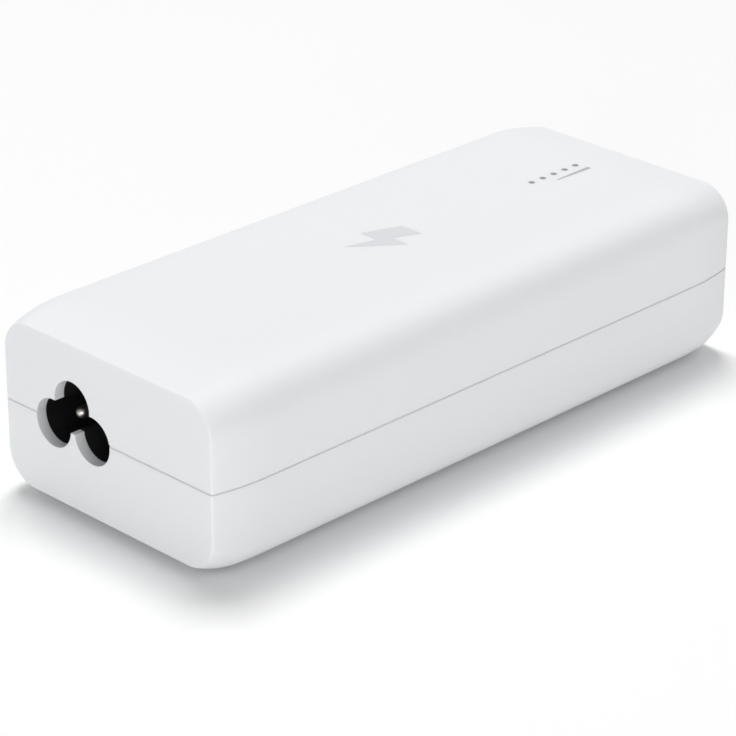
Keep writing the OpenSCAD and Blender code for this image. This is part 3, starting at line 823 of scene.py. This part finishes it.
@dataclass
class CoverShell:
    """One moulded cover, with its wall, its lip at the joint and its openings.

    Attributes:
        form: The case's form.
        half: Which cover it is.
        gap: Height of the shadow gap at the joint, in the top cover.
        gap_depth: Depth of the shadow gap.
        lip_r: Radius of the edge at the joint.
        lip_steps: Faces across that edge.
        opening_r: Radius of the edges of the openings.
    """

    form: CaseForm
    half: Half
    gap: float = 0.36
    gap_depth: float = 0.15
    lip_r: float = 0.12
    lip_steps: int = 4
    opening_r: float = 0.15

    def shell(self, name: str) -> Piece:
        """Model the closed wall of the cover, without its openings.

        Args:
            name: The piece's name.

        Returns:
            The wall.
        """
        form, up = self.form, self.half.value
        edge = form.joint + (self.gap if self.half is Half.TOP else 0.0)
        outer = self._skin(name, 0.0, edge + up * self.lip_r)
        lip = []
        for i in range(1, self.lip_steps + 1):
            t = math.pi / 2 * i / self.lip_steps
            lip.append((self.lip_r * (1 - math.cos(t)), edge + up * self.lip_r * (1 - math.sin(t))))
        if self.half is Half.TOP:
            lip += [(self.gap_depth, edge), (self.gap_depth, form.joint)]
        lip.append((form.wall, form.joint))
        pick(outer, "EDGE", lambda e: e.is_boundary)
        before = 0.0
        for inset, z in lip:
            shrink = (form.end - inset) / (form.end - before)
            move = inset - before
            step_out(outer, lambda p: Vector((p.x * shrink, p.y - math.copysign(move, p.y), z)))
            before = inset
        leave_edit()
        inner = self._skin(name + "_inside", form.wall, form.joint)
        cover = join([outer, inner], name)
        clean(cover)
        return cover

    def _skin(self, name: str, inset: float, edge_z: float) -> Piece:
        """Wrap a grid round the form and close its two flat ends.

        Args:
            name: Name of the new object.
            inset: How far the skin is drawn in from the outside.
            edge_z: Height of the skin's open edge.

        Returns:
            The skin, open at the joint.
        """
        form = self.form
        stations = form.stations()
        rings = []
        for x, rounding in stations:
            side = form.side_at(x) - inset - rounding
            rings.append([(side, edge_z), *form.bend(x, inset + rounding, self.half), (-side, edge_z)])
        columns, rows = len(stations) - 1, len(rings[0]) - 1
        skin = primitive("grid", name, x_subdivisions=columns, y_subdivisions=rows, size=2)
        reach = (form.end - inset) / form.end
        for vertex in skin.data.vertices:
            i = round((vertex.co.x + 1) / 2 * columns)
            j = round((1 - vertex.co.y) / 2 * rows)
            vertex.co = Vector((stations[i][0] * reach, *rings[i][j])) * MM
        for side in (-1, 1):
            pick(skin, "VERT", lambda v: side * v.co.x > (form.end - inset - HAIR) * MM)
            bpy.ops.mesh.edge_face_add()
            leave_edit()
        return skin

    def finish_openings(
        self, cover: Piece, mouths: Sequence[RoundMouth], windows: Sequence[Window]
    ) -> None:
        """Cut the openings into a cover and round their outer edges.

        Args:
            cover: The cover's wall.
            mouths: Round openings in the end face at -X.
            windows: Rectangular openings in either end face.
        """
        for opening in (*mouths, *windows):
            combine(cover, opening.cutter(self.form), "DIFFERENCE")
        clean(cover)
        end = self.form.end

        def on_edge(edge: bmesh.types.BMEdge) -> bool:
            """Tell whether an edge runs round an opening, on an end face.

            Args:
                edge: An edge of the cover.

            Returns:
                True if it does.
            """
            points = [v.co / MM for v in edge.verts]
            points.append((points[0] + points[1]) / 2)
            side = 1 if points[0].x > 0 else -1
            if any(abs(p.x - side * end) > 0.01 for p in points):
                return False
            on_mouth = side < 0 and any(all(m.on_rim(p) for p in points) for m in mouths)
            return on_mouth or any(w.side == side and w.on_rim(points) for w in windows)

        bevel_edges(cover, on_edge, self.opening_r)


@dataclass
class RoundMouth:
    """A round opening along X in the end face at -X.

    Attributes:
        y: Its middle across the case.
        z: Its middle's height.
        radius: Its radius.
    """

    y: float
    z: float
    radius: float

    def cutter(self, form: CaseForm) -> Piece:
        """Return a rod that cuts the opening."""
        return rod("cutter", self.radius, (-form.end - 1, self.y, self.z), form.wall + 2, "X", 96)

    def on_rim(self, point: Vector) -> bool:
        """Tell whether a point lies on the opening's circle."""
        return abs(math.hypot(point.y - self.y, point.z - self.z) - self.radius) < 0.02


@dataclass
class Window:
    """A rectangular opening in an end face.

    Attributes:
        low: Its lowest corner as (y, z).
        high: Its highest corner as (y, z).
        side: 1 for the end face at +X, and -1 for the one at -X.
    """

    low: Point
    high: Point
    side: int = 1

    def cutter(self, form: CaseForm) -> Piece:
        """Return a box that cuts the opening."""
        deep, clear = sorted((self.side * (form.end - form.wall - 1), self.side * (form.end + 1)))
        return block("cutter", (deep, *self.low), (clear, *self.high))

    def on_rim(self, points: Sequence[Vector]) -> bool:
        """Tell whether all points lie on one side of the rectangle.

        Args:
            points: Places on an edge, in millimetres.

        Returns:
            True if they do.
        """
        inside = all(
            self.low[0] - 0.01 < p.y < self.high[0] + 0.01 and self.low[1] - 0.01 < p.z < self.high[1] + 0.01
            for p in points
        )
        sides = ((1, self.low[0]), (1, self.high[0]), (2, self.low[1]), (2, self.high[1]))
        return inside and any(all(abs(p[axis] - level) < 0.01 for p in points) for axis, level in sides)


@dataclass
class Case:
    """The two covers, their feet and the marks printed on the roof.

    Attributes:
        form: The case's outer form.
        screws: Place of the case screw in the +X, +Y corner. The others mirror it.
        lights_middle: Middle of the row of lights along X.
        mouths: The round openings at -X, and windows the rectangular ones at both ends.
        window_gap: Room round a jack's shield, at its sides and top, and window_sill below it.
        spreader_low: Underside of the heat spreader that hangs from the roof.
        root_depth: How deep in the roof whatever hangs from it is rooted.
        foot_r: Radius of a rubber foot, foot_edge of its edge, and foot_gap the room round it.
        foot_recess: Depth of its seat.
        foot_rim: Width of its flat rim, and foot_tread the hollowed rings inside, as (depth, width).
        post_r: Radius of the screw posts, and post_top the height where the covers' posts meet.
        thread_r: Radius of the upper posts' bores, and screw_tip the height where a screw ends.
        shank_r: Radius of the lower posts' bores.
        head_r: Radius of the screw heads' wells, and head_top the height of their tops.
        ribs: Places of the roof's ribs along X. rib_half is half a rib's thickness, rib_reach half
            its length and rib_drop its depth.
        stakes: Places of the heat spreader's stakes along X, and stake_y across the case.
        stake_r: Radius of a stake's shoulder, neck_r of its neck and knob_r of its melted end.
        shoulder: Height of the stakes' shoulders over the spreader's underside.
        light_r: Radius of the light windows, light_pitch their spacing, light_count their number.
        tongue: Height of the base cover's tongue above the joint.
        sign: Corners of the power sign, a lightning bolt, as (across, along).
        sign_long: Half the sign's length, sign_broad its scale across and sign_y its middle.
        line: Corners of the fine line beside the lights, as (x, y).
        film: How far the ink stands proud of the roof, and ink_r the rounding of its corners.
    """

    form: CaseForm
    screws: Point
    lights_middle: float
    mouths: list[RoundMouth]
    windows: list[Window]
    spreader_low: float
    window_gap: float = 0.2
    window_sill: float = 0.15
    root_depth: float = 1.2
    foot_r: float = 4.5
    foot_edge: float = 0.35
    foot_gap: float = 0.1
    foot_recess: float = 0.8
    foot_rim: float = 1.0
    foot_tread: tuple[Point, ...] = ((0.12, 0.15), (0.25, 0.35))
    post_r: float = 3.0
    post_top: float = 16.0
    thread_r: float = 1.35
    screw_tip: float = 25.0
    shank_r: float = 1.5
    head_r: float = 2.6
    head_top: float = 4.4
    ribs: tuple[float, ...] = (-34.0, -1.0, 32.0)
    rib_half: float = 0.6
    rib_reach: float = 24.0
    rib_drop: float = 1.5
    stakes: Point = (-16.0, 22.4)
    stake_y: float = 16.0
    stake_r: float = 2.6
    neck_r: float = 1.5
    knob_r: float = 2.4
    shoulder: float = 1.25
    light_r: float = 0.65
    light_pitch: float = 3.25
    light_count: int = 5
    tongue: float = 1.3
    sign: tuple[Point, ...] = (
        (0.28, 1), (-0.18, 1), (-0.46, -0.08), (-0.06, -0.08), (-0.24, -1), (0.46, 0.26), (0.06, 0.26),
    )
    sign_long: float = 7.6
    sign_broad: float = 11.0
    sign_y: float = 0.5
    line: tuple[Point, ...] = ((46.2, -2.5), (46.2, -2.75), (55.8, -3.2), (55.8, -2.3))
    film: float = 0.02
    ink_r: float = 0.25

    @classmethod
    def from_frame(cls, inlet: MainsInlet) -> Case:
        """Read the case's driving sizes from the frame.

        Args:
            inlet: The mains inlet, which says where its mouth is.

        Returns:
            The case.
        """
        top_high = box_mm("top_cover")[1]
        base_low, base_high = box_mm("base_cover")
        feet_high = box_mm("rubber_feet")[1]
        guide_low, guide_high = box_mm("light_guide")
        form = CaseForm(top_high.x, top_high.y, base_low.z, top_high.z, base_high.z - cls.tongue)
        windows = [inlet.middle()]
        for shield in ("lan_jack_shield", "poe_jack_shield"):
            low, high = box_mm(shield)
            gap = cls.window_gap
            windows.append(Window((low.y - gap, low.z - cls.window_sill), (high.y + gap, high.z + gap)))
        return cls(
            form=form,
            screws=(feet_high.x - cls.foot_r, feet_high.y - cls.foot_r),
            lights_middle=(guide_low.x + guide_high.x) / 2,
            mouths=inlet.mouths(),
            windows=windows,
            spreader_low=box_mm("heat_spreader")[0].z,
        )

    def build(self, shop: Workshop) -> None:
        """Model and dress the covers, feet and printed marks.

        Args:
            shop: Dresses the pieces.
        """
        self._top(shop)
        self._base(shop)
        self._feet(shop)
        self._marks(shop)

    def _corners(self) -> list[Point]:
        """Places of the four case screws, which are those of the feet too."""
        return [(sx * self.screws[0], sy * self.screws[1]) for sx in (-1, 1) for sy in (-1, 1)]

    def _rods(self, radius: float, low: float, high: float) -> Piece:
        """Stand a rod at each case screw, between two heights, and join the four."""
        return join([rod("rods", radius, (x, y, low), high - low) for x, y in self._corners()], "rods")

    def _top(self, shop: Workshop) -> None:
        """Model the top cover with its posts, stakes, ribs and light windows.

        Args:
            shop: Dresses the pieces.
        """
        form = self.form
        shell = CoverShell(form, Half.TOP)
        cover = shell.shell("top_cover_shell")
        inside = form.roof - self.root_depth
        combine(cover, self._rods(self.post_r, self.post_top, inside), "UNION")
        for x in self.ribs:
            low = (x - self.rib_half, -self.rib_reach, form.roof - form.wall - self.rib_drop)
            combine(cover, block("rib", low, (x + self.rib_half, self.rib_reach, inside)), "UNION")
        combine(cover, self._stakes(inside), "UNION")
        bores = [self._rods(self.thread_r, self.post_top - 1, self.screw_tip + 3)]
        first = self.lights_middle - self.light_pitch * (self.light_count - 1) / 2
        low, length = form.roof - form.wall - 2, form.wall + 4
        bores += [
            rod("bore", self.light_r, (first + i * self.light_pitch, 0, low), length)
            for i in range(self.light_count)
        ]
        combine(cover, join(bores, "bores"), "DIFFERENCE")
        shell.finish_openings(cover, self.mouths, self.windows)
        smooth(cover)
        shop.dress(cover, "case_plastic", "top_cover")

    def _stakes(self, inside: float) -> Piece:
        """Model the four stakes that hold the heat spreader.

        Args:
            inside: Height in the roof's wall where they start.

        Returns:
            The stakes as one object.
        """
        stakes = []
        low = self.spreader_low
        for x in self.stakes:
            for y in (-self.stake_y, self.stake_y):
                shoulder = low + self.shoulder
                stake = rod("stake", self.stake_r, (x, y, shoulder), inside - shoulder)
                combine(stake, rod("neck", self.neck_r, (x, y, low - 0.5), inside - low), "UNION")
                combine(stake, rod("knob", self.knob_r, (x, y, low - 0.8), 0.75), "UNION")
                stakes.append(stake)
        return join(stakes, "stakes")

    def _base(self, shop: Workshop) -> None:
        """Model the base cover with its posts and the seats of the feet and screws.

        Args:
            shop: Dresses the pieces.
        """
        form = self.form
        shell = CoverShell(form, Half.BASE)
        cover = shell.shell("base_cover_shell")
        combine(cover, self._rods(self.post_r, form.under + 1, self.post_top), "UNION")
        for radius, low, high in (
            (self.foot_r + self.foot_gap, form.under - 1, form.under + self.foot_recess),
            (self.head_r, form.under, self.head_top),
            (self.shank_r, self.head_top - 1, self.post_top + 1),
        ):
            combine(cover, self._rods(radius, low, high), "DIFFERENCE")
        shell.finish_openings(cover, self.mouths, self.windows)
        smooth(cover)
        shop.dress(cover, "case_plastic", "base_cover")

    def _feet(self, shop: Workshop) -> None:
        """Model one rubber foot, with a round edge and a hollowed tread, and set it four times.

        Args:
            shop: Dresses the pieces.
        """
        top = self.form.under + self.foot_recess
        x0, y0 = self._corners()[0]
        foot = rod("foot", self.foot_r, (x0, y0, 0), top, sides=64)
        pick(foot, "FACE", lambda f: f.normal.z < -0.9)
        bpy.ops.mesh.inset(thickness=self.foot_rim * MM)
        for depth, width in self.foot_tread:
            bpy.ops.mesh.inset(thickness=width * MM, depth=-depth * MM)
        leave_edit()

        def on_edge(edge: bmesh.types.BMEdge) -> bool:
            """Tell whether an edge runs round the outside of the tread."""
            reach = self.foot_r - 0.01
            return all(v.co.z < HAIR and math.dist(v.co.xy / MM, (x0, y0)) > reach for v in edge.verts)

        bevel_edges(foot, on_edge, self.foot_edge, 4)
        feet = [foot]
        for x, y in self._corners()[1:]:
            copy = bpy.data.objects.new("foot", foot.data.copy())
            bpy.context.scene.collection.objects.link(copy)
            copy.data.transform(Matrix.Translation(Vector((x - x0, y - y0, 0)) * MM))
            feet.append(copy)
        feet = join(feet, "rubber_feet_moulded")
        clean(feet)
        smooth(feet)
        shop.dress(feet, "foot_rubber", "rubber_feet")

    def _marks(self, shop: Workshop) -> None:
        """Print the power sign and the fine line beside the lights.

        Args:
            shop: Dresses the pieces.
        """
        long, broad = self.sign_long, self.sign_broad
        sign = [(long * along, self.sign_y - broad * across) for across, along in self.sign]
        self._print("power_sign_ink", sign, shop, GREY_INK)
        self._print("light_row_line_ink", self.line, shop, DARK_INK)

    def _print(self, name: str, outline: Sequence[Point], shop: Workshop, ink: Finish) -> None:
        """Print a flat ink shape on the roof.

        Args:
            name: The piece's name.
            outline: Its corners as (x, y), in order.
            shop: Dresses the piece.
            ink: Its finish.
        """
        mark = primitive("circle", name, vertices=len(outline), radius=1, fill_type="NGON")
        corners = sorted(mark.data.vertices, key=lambda v: math.atan2(v.co.y, v.co.x) % (2 * math.pi))
        # The primitive's corners run anticlockwise, so the outline has to as well
        if sum(a[0] * b[1] - b[0] * a[1] for a, b in zip(outline, [*outline[1:], outline[0]])) < 0:
            outline = outline[::-1]
        for vertex, (x, y) in zip(corners, outline):
            vertex.co = Vector((x, y, self.form.roof - self.film)) * MM
        pick(mark, "FACE", lambda f: True)
        step_out(mark, lambda p: p + Vector((0, 0, 2 * self.film)))
        leave_edit()
        clean(mark)
        bevel_edges(mark, lambda e: abs(e.verts[0].co.z - e.verts[1].co.z) > self.film * MM, self.ink_r, 4)
        smooth(mark)
        shop.dress(mark, "case_plastic", finish=ink)


# ---- Mains inlet


@dataclass
class MainsInlet:
    """The three-lobed mains inlet: its moulding and its three contact pins.

    Attributes:
        y: Middle of the inlet.
        z: Height of the two lower pins.
        pin_half: Half the spacing of the lower pins, which is also the rise of the upper one.
        pin_tip: Place of the pin tips along X.
        board_top: Height of the board's upper face, where the solder tails start.
        lobe_r: Radius of a lobe of the mouth.
        lobe_half: Half the spacing of the lower lobes.
        lobe_rise: Height of the upper lobe above the lower ones.
        middle_half: Half the width of the mouth's middle, and middle_drop its depth below the pins.
        pin_r: Radius of a pin.
        root_r: Radius of a pin's root.
        root_x: Place along X where a pin grows thicker.
        tail_half: Half the width of a pin's flat solder tail.
        dome_steps: Rings of a pin's domed tip.
        housing_edge: Radius of the moulding's edges.
    """

    y: float
    z: float
    pin_half: float
    pin_tip: float
    board_top: float
    lobe_r: float = 4.7
    lobe_half: float = 5.25
    lobe_rise: float = 5.2
    middle_half: float = 0.8
    middle_drop: float = 0.4
    pin_r: float = 1.2
    root_r: float = 1.6
    root_x: float = -56.0
    tail_half: float = 0.9
    dome_steps: int = 8
    housing_edge: float = 0.12

    @classmethod
    def from_frame(cls) -> MainsInlet:
        """Read the inlet's place from the frame.

        Returns:
            The inlet.
        """
        boxes = {name: box_mm(f"{name}_pin") for name in ("line", "neutral", "earth")}
        middle = {name: (low.y + high.y) / 2 for name, (low, high) in boxes.items()}
        return cls(
            y=middle["earth"],
            z=boxes["line"][1].z - cls.root_r,
            pin_half=(middle["neutral"] - middle["line"]) / 2,
            pin_tip=boxes["line"][0].x,
            board_top=box_mm("main_board")[1].z,
        )

    def middle(self) -> Window:
        """Return the part of the mouth between the lobes, which reaches a little lower."""
        half = self.middle_half
        return Window((self.y - half, self.z - self.middle_drop), (self.y + half, self.z + 2), side=-1)

    def mouths(self) -> list[RoundMouth]:
        """List the three round openings that make up the mouth."""
        return [
            RoundMouth(self.y - self.lobe_half, self.z, self.lobe_r),
            RoundMouth(self.y + self.lobe_half, self.z, self.lobe_r),
            RoundMouth(self.y, self.z + self.lobe_rise, self.lobe_r),
        ]

    def build(self, shop: Workshop) -> None:
        """Model and dress the moulding and the pins.

        Args:
            shop: Dresses the pieces.
        """
        housing = softened_copy("inlet_housing", "inlet_moulding", self.housing_edge)
        shop.dress(housing, "inlet_plastic", "inlet_housing")
        places = {
            "line_pin": (self.y - self.pin_half, self.z),
            "neutral_pin": (self.y + self.pin_half, self.z),
            "earth_pin": (self.y, self.z + self.pin_half),
        }
        for name, (y, z) in places.items():
            self._pin(name, y, z, shop)

    def _pin(self, name: str, y: float, z: float, shop: Workshop) -> None:
        """Turn one pin with a domed tip, a thicker root and a flat solder tail.

        Args:
            name: The CAD node that the pin stands for.
            y: Its place across the case.
            z: Its height.
            shop: Dresses the piece.
        """
        back = box_mm(name)[1].x
        shoulder = self.pin_tip + self.pin_r
        pin = rod(name + "_turned", self.pin_r, (shoulder, y, z), self.root_x - shoulder, "X")
        pick(pin, "FACE", lambda f: f.normal.x < -0.9)
        for i in range(1, self.dome_steps + 1):
            # The last ring ends just short of the point, so the tip is a small flat face
            before, now = (math.pi / 2 * k / (self.dome_steps + 0.3) for k in (i - 1, i))
            shrink = math.cos(now) / math.cos(before)
            x = shoulder - self.pin_r * math.sin(now)
            step_out(pin, lambda p: Vector((x, y + (p.y - y) * shrink, z + (p.z - z) * shrink)))
        leave_edit()
        pick(pin, "FACE", lambda f: f.normal.x > 0.9)
        grow = self.root_r / self.pin_r
        step_out(pin, lambda p: Vector((p.x, y + (p.y - y) * grow, z + (p.z - z) * grow)))
        step_out(pin, lambda p: Vector((back, p.y, p.z)))
        leave_edit()
        half = self.tail_half
        tail = block("tail", (back - 1, y - half, self.board_top), (back - 0.2, y + half, z))
        combine(pin, tail, "UNION")
        clean(pin)
        smooth(pin)
        shop.dress(pin, "nickel_brass", name)


# ---- Network jacks


@dataclass
class NetworkJack:
    """One shielded eight-way jack. Its leads and contact wires stay as the CAD gives them.

    Attributes:
        prefix: The prefix of its nodes' names.
        housing_edge: Radius of the moulding's edges.
        shield_edge: Radius of the folded shield's edges.
    """

    prefix: str
    housing_edge: float = 0.15
    shield_edge: float = 0.08

    def build(self, shop: Workshop) -> None:
        """Model and dress the moulding and the shield.

        Args:
            shop: Dresses the pieces.
        """
        for part, made, edge, slot in (
            ("housing", "moulding", self.housing_edge, "jack_plastic"),
            ("shield", "folded_shield", self.shield_edge, "jack_steel"),
        ):
            node = f"{self.prefix}_jack_{part}"
            shop.dress(softened_copy(node, f"{self.prefix}_jack_{made}", edge), slot, node)


# ---- Studio


@dataclass
class Viewpoint:
    """Where the camera stands, in degrees and millimetres.

    Attributes:
        yaw: Angle of the line of sight from +X towards +Y.
        pitch: Angle of the line of sight below the horizon.
        roll: Turn about the line of sight.
        distance: Distance from the case.
        across: Offset of the aim to the right.
        above: Offset of the aim upwards.
        lens: Focal length.
        sensor: Width of the camera's sensor.
    """

    yaw: float = 44.5
    pitch: float = 25.23
    roll: float = 0.29
    distance: float = 606.32
    across: float = -2.87
    above: float = -7.75
    lens: float = 155.35
    sensor: float = 36.0

    def build(self, middle: Vector) -> None:
        """Set up the camera.

        Args:
            middle: The middle of the case, in millimetres.
        """
        yaw, pitch, roll = (math.radians(a) for a in (self.yaw, self.pitch, self.roll))
        back = Vector((-math.cos(yaw) * math.cos(pitch), -math.sin(yaw) * math.cos(pitch), math.sin(pitch)))
        level_right = (-back).cross(Vector((0, 0, 1))).normalized()
        level_up = level_right.cross(-back)
        right = level_right * math.cos(roll) + level_up * math.sin(roll)
        up = level_up * math.cos(roll) - level_right * math.sin(roll)
        place = middle + right * self.across + up * self.above + back * self.distance
        turn = Matrix((right, up, back)).transposed().to_4x4()
        data = bpy.data.cameras.new("camera")
        data.lens = self.lens
        data.sensor_width = self.sensor
        data.clip_start = 0.01
        data.clip_end = 20
        camera = bpy.data.objects.new("camera", data)
        camera.matrix_world = Matrix.Translation(place * MM) @ turn
        bpy.context.scene.collection.objects.link(camera)
        bpy.context.scene.camera = camera


@dataclass(frozen=True)
class SoftBox:
    """One rectangular studio light.

    Attributes:
        name: Its name.
        place: Its middle, in metres.
        size: Its width and height, in metres.
        power: Its power in watts.
    """

    name: str
    place: tuple[float, float, float]
    size: Point
    power: float

    def build(self, target: Vector) -> None:
        """Hang the light and aim it at a point.

        Args:
            target: The point, in metres.
        """
        data = bpy.data.lights.new(self.name, "AREA")
        data.shape = "RECTANGLE"
        data.size, data.size_y = self.size
        data.energy = self.power
        light = bpy.data.objects.new(self.name, data)
        light.location = self.place
        light.rotation_euler = (target - Vector(self.place)).to_track_quat("-Z", "Y").to_euler()
        bpy.context.scene.collection.objects.link(light)


@dataclass
class Studio:
    """A white glossy table in an even white room.

    Attributes:
        sky: Brightness of the room's even light.
        table_colour: The table's colour as sRGB hex.
        table_gloss: Roughness of the table.
        table_size: Length of the table's sides, in metres.
        lights: The lamps.
    """

    sky: float = 0.4
    table_colour: str = "#FFFFFF"
    table_gloss: float = 0.2
    table_size: float = 6.0
    lights: tuple[SoftBox, ...] = (
        SoftBox("overhead", (0.4, 0.55, 2.0), (0.9, 0.9), 30.5),
        SoftBox("inlet_side", (-0.9, -0.5, 0.1), (0.8, 0.2), 3.7),
        SoftBox("long_side", (0.45, -1.0, 0.1), (1.0, 0.2), 1.5),
    )

    def build(self, target: Vector) -> None:
        """Lay the table, fill the room with light and hang the lamps.

        Args:
            target: What the lamps aim at, in metres.
        """
        scene = bpy.context.scene
        scene.view_settings.view_transform = "Standard"
        world = bpy.data.worlds.new("room")
        scene.world = world
        world.use_nodes = True
        world.node_tree.nodes.clear()
        light = add_node(world.node_tree, "Background", {"Color": (1, 1, 1, 1), "Strength": self.sky})
        add_node(world.node_tree, "OutputWorld", links={"Surface": light.outputs[0]})
        table = primitive("plane", "table", size=self.table_size)
        material = bpy.data.materials.new("gloss_white_acrylic_sheet")
        material.use_nodes = True
        tree = material.node_tree
        tree.nodes.clear()
        shader = add_node(
            tree, "BsdfPrincipled",
            {"Base Color": hex_to_linear(self.table_colour), "Roughness": self.table_gloss},
        )
        add_node(tree, "OutputMaterial", links={"Surface": shader.outputs[0]})
        table.data.materials.append(material)
        for lamp in self.lights:
            lamp.build(target)


def main() -> None:
    """Build the studio and every piece round the frame."""
    logging.basicConfig(level=logging.INFO, format="%(name)s: %(message)s")
    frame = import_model()
    shop = Workshop()
    shop.dress_nodes(frame["nodes"], frame["record"])
    inlet = MainsInlet.from_frame()
    case = Case.from_frame(inlet)
    middle = Vector((0, 0, (case.form.under + case.form.roof) / 2))
    Viewpoint().build(middle)
    Studio().build(middle * MM)
    inlet.build(shop)
    case.build(shop)
    for prefix in ("lan", "poe"):
        NetworkJack(prefix).build(shop)


if __name__ == "__main__":
    main()
